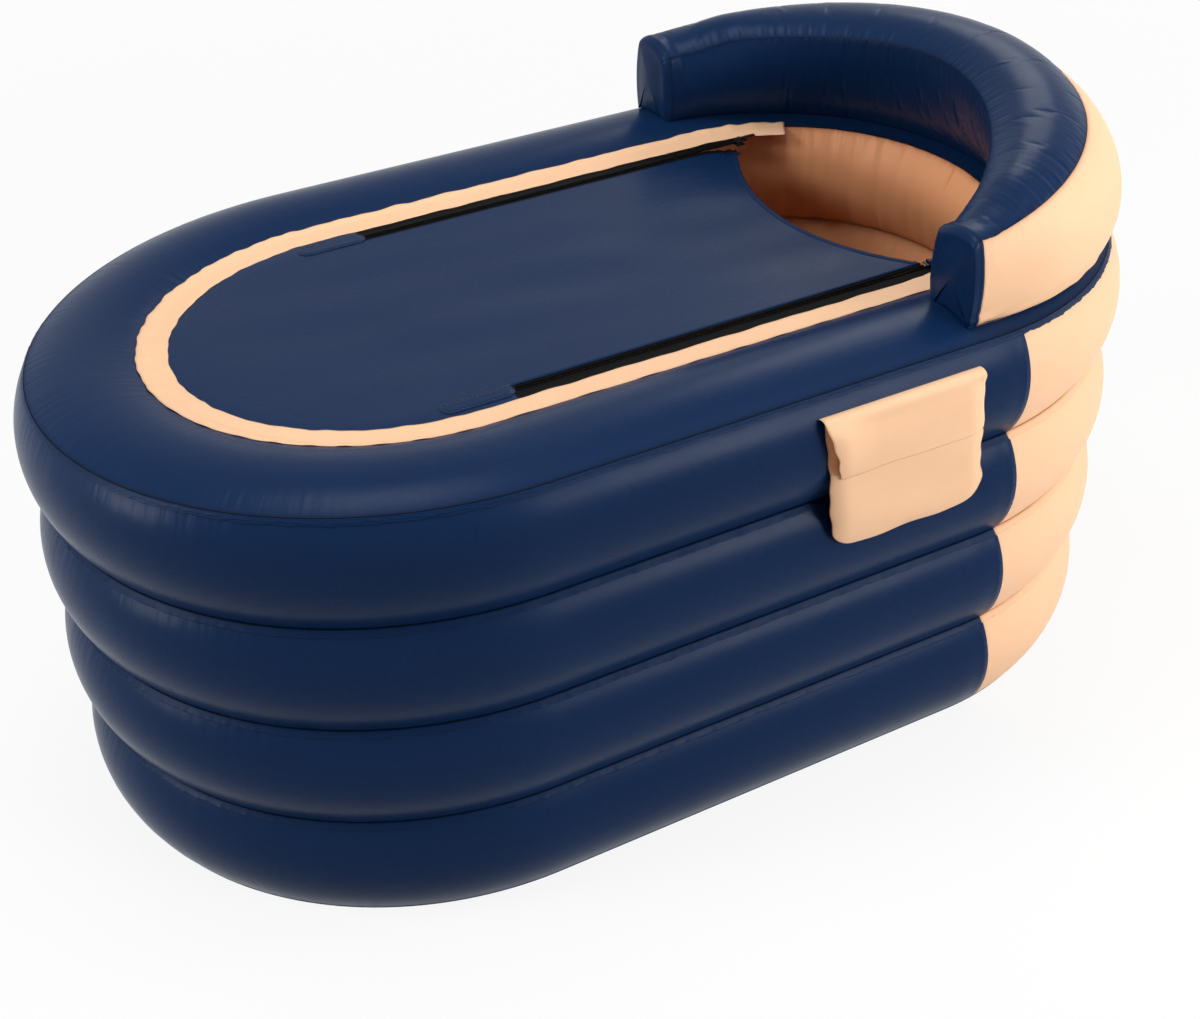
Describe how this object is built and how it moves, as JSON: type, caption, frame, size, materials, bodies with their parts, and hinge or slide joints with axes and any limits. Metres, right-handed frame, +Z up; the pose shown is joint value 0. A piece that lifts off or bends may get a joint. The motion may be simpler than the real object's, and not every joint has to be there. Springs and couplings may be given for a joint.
{
  "type": "inflatable bathtub",
  "caption": "Long oval inflatable bathtub of stacked air rings, with a C-shaped backrest cushion on the rim, a zipped cover with a neck cut-out and a flapped side pocket.",
  "frame": {"origin": "middle of the base, on the floor", "axes": "+X along the tub towards the backrest, +Y towards the side away from the pocket, +Z up"},
  "size_m": [1.4, 0.84, 0.74],
  "materials": {
    "navy_pvc": "satin flocked",
    "peach_pvc": "satin",
    "zip_black": "woven, waterproof coated",
    "zip_metal": "die-cast, painted black",
    "clear_fitting": "translucent moulded"
  },
  "bodies": {
    "tub": {"outer_band_1": "navy_pvc", "head_band_1": "peach_pvc", "liner_band_1": "peach_pvc", "outer_band_2": "navy_pvc", "head_band_2": "peach_pvc", "liner_band_2": "peach_pvc", "outer_band_3": "navy_pvc", "head_band_3": "peach_pvc", "liner_band_3": "peach_pvc", "outer_band_4": "navy_pvc", "head_band_4": "peach_pvc", "liner_band_4": "peach_pvc", "chamber_web_1": "peach_pvc", "chamber_web_2": "peach_pvc", "chamber_web_3": "peach_pvc", "base_sheet": "navy_pvc", "rim_top_sheet": "navy_pvc", "backrest_outer_panel": "peach_pvc", "backrest_top_panel": "navy_pvc", "backrest_inner_panel": "navy_pvc", "backrest_base_panel": "navy_pvc", "backrest_near_end_panel": "navy_pvc", "backrest_far_end_panel": "navy_pvc", "backrest_valve_stem": "clear_fitting", "cover_edge_strip": "peach_pvc", "foot_cover_panel": "navy_pvc", "zip_near_frame_tape": "zip_black", "zip_near_patch": "navy_pvc", "zip_far_frame_tape": "zip_black", "zip_far_patch": "navy_pvc", "pouch_back_panel": "peach_pvc", "pouch_front_panel": "peach_pvc", "floor_top_sheet": "peach_pvc", "floor_valve_stem": "clear_fitting", "wall_valve_base": "clear_fitting", "wall_valve_membrane": "clear_fitting", "drain_spigot": "clear_fitting"},
    "cover": {"cover_flap": "navy_pvc", "neck_binding": "navy_pvc", "zip_near_flap_tape": "zip_black", "zip_far_flap_tape": "zip_black"},
    "near_slider": {"zip_near_slider": "zip_metal"},
    "far_slider": {"zip_far_slider": "zip_metal"},
    "near_pull": {"zip_near_pull": "zip_metal"},
    "far_pull": {"zip_far_pull": "zip_metal"},
    "pouch_lid": {"pouch_flap": "peach_pvc"},
    "valve_cap": {"wall_valve_cap": "clear_fitting"},
    "drain_outer_cap": {"drain_cap": "clear_fitting"},
    "drain_inner_plug": {"drain_plug": "clear_fitting"},
    "backrest_stopper": {"backrest_valve_stopper": "clear_fitting"},
    "floor_stopper": {"floor_valve_stopper": "clear_fitting"}
  },
  "joints": [
    {"name": "cover_fold", "type": "hinge", "parent": "tub", "child": "cover", "pos_m": [-0.15, 0, 0.563], "axis": [0, -1, 0], "range_deg": [0, 165]},
    {"name": "near_zip_slide", "type": "slide", "parent": "tub", "child": "near_slider", "axis": [1, 0, 0], "range_m": [-0.5484, 0]},
    {"name": "far_zip_slide", "type": "slide", "parent": "tub", "child": "far_slider", "axis": [1, 0, 0], "range_m": [-0.5484, 0]},
    {"name": "near_pull_swing", "type": "hinge", "parent": "near_slider", "child": "near_pull", "pos_m": [0.3444, -0.212, 0.5664], "axis": [0, -1, 0], "range_deg": [0, 150]},
    {"name": "far_pull_swing", "type": "hinge", "parent": "far_slider", "child": "far_pull", "pos_m": [0.3444, 0.212, 0.5664], "axis": [0, -1, 0], "range_deg": [0, 150]},
    {"name": "pouch_flap_fold", "type": "hinge", "parent": "tub", "child": "pouch_lid", "pos_m": [0.18, -0.3987, 0.5433], "axis": [-1, 0, 0], "range_deg": [0, 105]},
    {"name": "valve_cap_pull", "type": "slide", "parent": "tub", "child": "valve_cap", "axis": [0, 1, 0], "range_m": [0, 0.03]},
    {"name": "drain_cap_pull", "type": "slide", "parent": "tub", "child": "drain_outer_cap", "axis": [0, 1, 0], "range_m": [0, 0.03]},
    {"name": "drain_plug_pull", "type": "slide", "parent": "tub", "child": "drain_inner_plug", "axis": [0, -1, 0], "range_m": [0, 0.03]},
    {"name": "backrest_stopper_pull", "type": "slide", "parent": "tub", "child": "backrest_stopper", "axis": [0, 0.9999, -0.0105], "range_m": [0, 0.02]},
    {"name": "floor_stopper_pull", "type": "slide", "parent": "tub", "child": "floor_stopper", "axis": [0, 0, 1], "range_m": [0, 0.02]}
  ]
}
